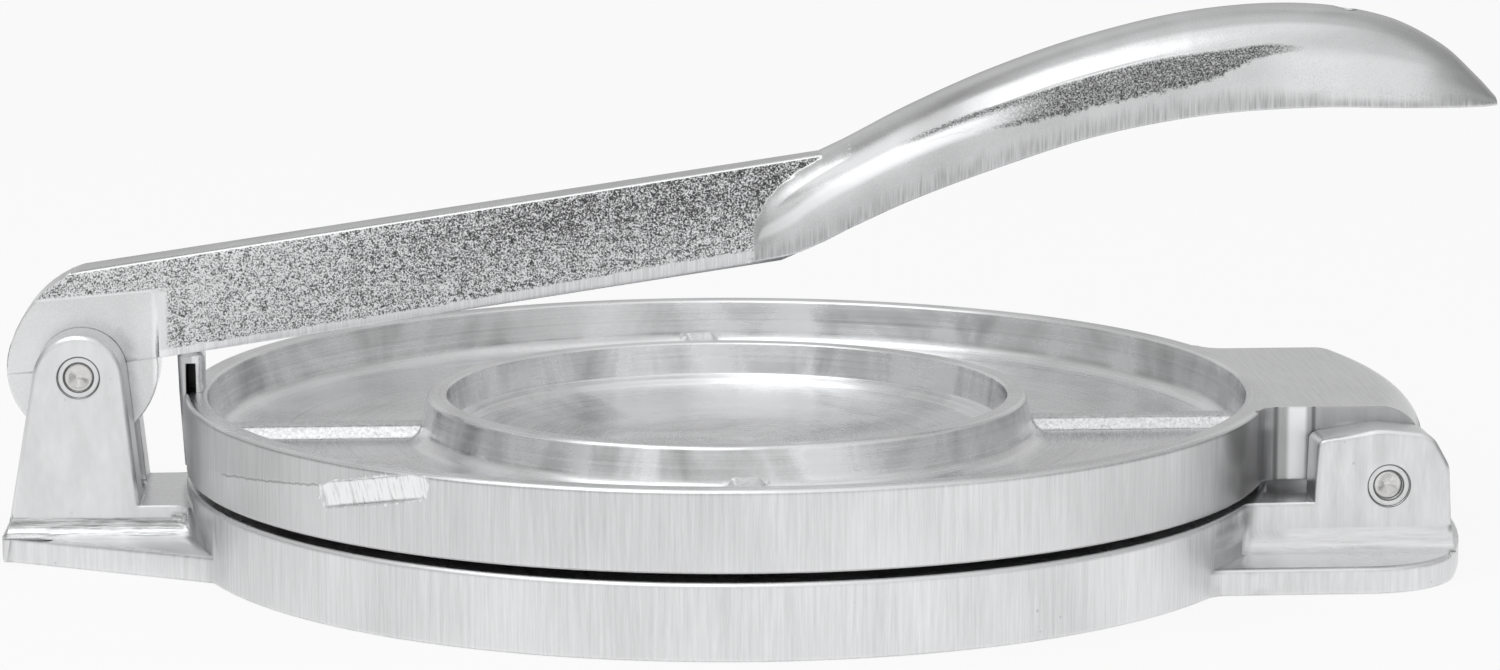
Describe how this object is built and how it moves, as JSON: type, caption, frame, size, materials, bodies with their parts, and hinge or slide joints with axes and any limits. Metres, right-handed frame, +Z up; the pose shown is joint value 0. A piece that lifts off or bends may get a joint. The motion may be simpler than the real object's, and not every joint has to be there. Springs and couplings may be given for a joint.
{
  "type": "tortilla press",
  "caption": "Hand press with two round cast discs, the upper one hinged at one side, and a long domed-grip lever pinned in a clevis at the other side to press dough flat.",
  "frame": {"origin": "centre of the round base, on the surface that it stands on", "axes": "+X from the disc centre to the plate hinge, -X to the lever clevis, +Z up, front is -Y"},
  "size_m": [0.2804, 0.2032, 0.1006],
  "materials": {
    "cast_aluminium_base": "belt-polished casting",
    "cast_aluminium_plate": "turned and polished casting",
    "cast_aluminium_lever": "as-cast sides with polished grip",
    "pin_steel": "turned"
  },
  "bodies": {
    "press_base": {"base": "cast_aluminium_base", "lever_pin": "pin_steel", "hinge_pin": "pin_steel"},
    "press_lever": {"lever": "cast_aluminium_lever"},
    "press_plate": {"upper_plate": "cast_aluminium_plate"}
  },
  "joints": [
    {"name": "lever_swing", "type": "hinge", "parent": "press_base", "child": "press_lever", "pos_m": [-0.1203, 0, 0.0344], "axis": [0, -1, 0], "range_deg": [0, 170]},
    {"name": "plate_hinge", "type": "hinge", "parent": "press_base", "child": "press_plate", "pos_m": [0.1182, 0, 0.0165], "axis": [0, 1, 0], "range_deg": [0, 104]}
  ],
  "couplings": [
    {"joint": "plate_hinge", "follows": "lever_swing", "ratio": 0.075}
  ]
}
